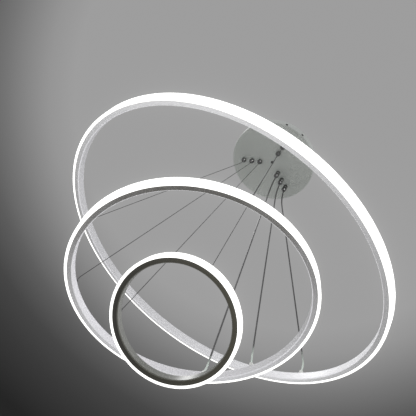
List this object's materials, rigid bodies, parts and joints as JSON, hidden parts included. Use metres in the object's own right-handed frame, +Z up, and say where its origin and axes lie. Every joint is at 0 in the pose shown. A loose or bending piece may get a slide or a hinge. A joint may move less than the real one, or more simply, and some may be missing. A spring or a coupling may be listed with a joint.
{
  "type": "led ring chandelier",
  "caption": "Ceiling-hung chandelier of concentric tilted light rings on height-adjustable wires and feed cables below a round canopy.",
  "frame": {"origin": "on the ceiling, at the centre of the ceiling bracket's top face", "axes": "+Z up, out of the bracket's face into the ceiling; +X along the bracket and through the first row of wire grippers; +Y square to the bracket"},
  "size_m": [0.587, 0.5994, 0.6597],
  "materials": {
    "ring_profile": "satin silver lacquer on aluminium",
    "opal_diffuser": "opal, lit from inside",
    "led_strip": "white circuit strip",
    "led_chip": "phosphor yellow",
    "zinc_steel": "zinc plated",
    "chrome": "polished chrome",
    "gland_nylon": "pale nylon",
    "canopy_paint": "satin silver grey",
    "dark_screw": "dark plated",
    "spring_steel": "drawn spring wire",
    "wire_rope": "stranded steel",
    "feed_sheath": "grey translucent sheath",
    "driver_plastic": "moulded white",
    "terminal_nylon": "natural nylon"
  },
  "bodies": {
    "canopy": {"canopy_cover": "canopy_paint", "ceiling_bracket": "zinc_steel", "centre_screw": "dark_screw", "side_screws": "dark_screw", "gripper_bodies": "chrome", "gripper_nuts": "zinc_steel", "spring_large_a": "spring_steel", "spring_large_b": "spring_steel", "spring_middle_a": "spring_steel", "spring_middle_b": "spring_steel", "spring_small_a": "spring_steel", "spring_small_b": "spring_steel", "cord_grip_bodies": "chrome", "cord_grip_nuts": "zinc_steel", "driver_case": "driver_plastic", "driver_lid": "driver_plastic", "terminal_block": "terminal_nylon", "wire_large_a": "wire_rope", "wire_large_b": "wire_rope", "wire_middle_a": "wire_rope", "wire_middle_b": "wire_rope", "wire_small_a": "wire_rope", "wire_small_b": "wire_rope", "feed_large": "feed_sheath", "feed_middle": "feed_sheath", "feed_small": "feed_sheath"},
    "large_ring": {"large_frame": "ring_profile", "large_diffuser": "opal_diffuser", "large_led_strip": "led_strip", "large_led_chips": "led_chip", "large_splice_plate": "zinc_steel", "large_splice_screws": "zinc_steel", "large_wire_anchors": "chrome", "large_feed_gland": "gland_nylon"},
    "middle_ring": {"middle_frame": "ring_profile", "middle_diffuser": "opal_diffuser", "middle_led_strip": "led_strip", "middle_led_chips": "led_chip", "middle_splice_plate": "zinc_steel", "middle_splice_screws": "zinc_steel", "middle_wire_anchors": "chrome", "middle_feed_gland": "gland_nylon"},
    "small_ring": {"small_frame": "ring_profile", "small_diffuser": "opal_diffuser", "small_led_strip": "led_strip", "small_led_chips": "led_chip", "small_splice_plate": "zinc_steel", "small_splice_screws": "zinc_steel", "small_wire_anchors": "chrome", "small_feed_gland": "gland_nylon"},
    "plunger_large_a_body": {"plunger_large_a": "chrome"},
    "plunger_large_b_body": {"plunger_large_b": "chrome"},
    "plunger_middle_a_body": {"plunger_middle_a": "chrome"},
    "plunger_middle_b_body": {"plunger_middle_b": "chrome"},
    "plunger_small_a_body": {"plunger_small_a": "chrome"},
    "plunger_small_b_body": {"plunger_small_b": "chrome"},
    "cord_grip_cap_large_body": {"cord_grip_cap_large": "chrome"},
    "cord_grip_cap_middle_body": {"cord_grip_cap_middle": "chrome"},
    "cord_grip_cap_small_body": {"cord_grip_cap_small": "chrome"}
  },
  "joints": [
    {"name": "large_ring_height", "type": "slide", "parent": "canopy", "child": "large_ring", "axis": [0, 0, 1], "range_m": [0, 0.25], "deforming": ["wire_large_a", "wire_large_b", "feed_large"]},
    {"name": "middle_ring_height", "type": "slide", "parent": "canopy", "child": "middle_ring", "axis": [0, 0, 1], "range_m": [0, 0.19], "deforming": ["wire_middle_a", "wire_middle_b", "feed_middle"]},
    {"name": "small_ring_height", "type": "slide", "parent": "canopy", "child": "small_ring", "axis": [0, 0, 1], "range_m": [0, 0.3], "deforming": ["wire_small_a", "wire_small_b", "feed_small"]},
    {"name": "release_large_a", "type": "slide", "parent": "canopy", "child": "plunger_large_a_body", "axis": [0, 0, 1], "range_m": [0, 0.002], "stiffness_N_per_m": 300, "springref_m": -0.001, "deforming": ["spring_large_a"]},
    {"name": "release_large_b", "type": "slide", "parent": "canopy", "child": "plunger_large_b_body", "axis": [0, 0, 1], "range_m": [0, 0.002], "stiffness_N_per_m": 300, "springref_m": -0.001, "deforming": ["spring_large_b"]},
    {"name": "release_middle_a", "type": "slide", "parent": "canopy", "child": "plunger_middle_a_body", "axis": [0, 0, 1], "range_m": [0, 0.002], "stiffness_N_per_m": 300, "springref_m": -0.001, "deforming": ["spring_middle_a"]},
    {"name": "release_middle_b", "type": "slide", "parent": "canopy", "child": "plunger_middle_b_body", "axis": [0, 0, 1], "range_m": [0, 0.002], "stiffness_N_per_m": 300, "springref_m": -0.001, "deforming": ["spring_middle_b"]},
    {"name": "release_small_a", "type": "slide", "parent": "canopy", "child": "plunger_small_a_body", "axis": [0, 0, 1], "range_m": [0, 0.002], "stiffness_N_per_m": 300, "springref_m": -0.001, "deforming": ["spring_small_a"]},
    {"name": "release_small_b", "type": "slide", "parent": "canopy", "child": "plunger_small_b_body", "axis": [0, 0, 1], "range_m": [0, 0.002], "stiffness_N_per_m": 300, "springref_m": -0.001, "deforming": ["spring_small_b"]},
    {"name": "cord_clamp_large", "type": "hinge", "parent": "canopy", "child": "cord_grip_cap_large_body", "pos_m": [-0.035, 0.06062, -0.034], "axis": [0, 0, 1], "range_deg": [0, 360]},
    {"name": "cord_clamp_middle", "type": "hinge", "parent": "canopy", "child": "cord_grip_cap_middle_body", "pos_m": [-0.025, 0.0433, -0.034], "axis": [0, 0, 1], "range_deg": [0, 360]},
    {"name": "cord_clamp_small", "type": "hinge", "parent": "canopy", "child": "cord_grip_cap_small_body", "pos_m": [-0.015, 0.02598, -0.034], "axis": [0, 0, 1], "range_deg": [0, 360]}
  ]
}
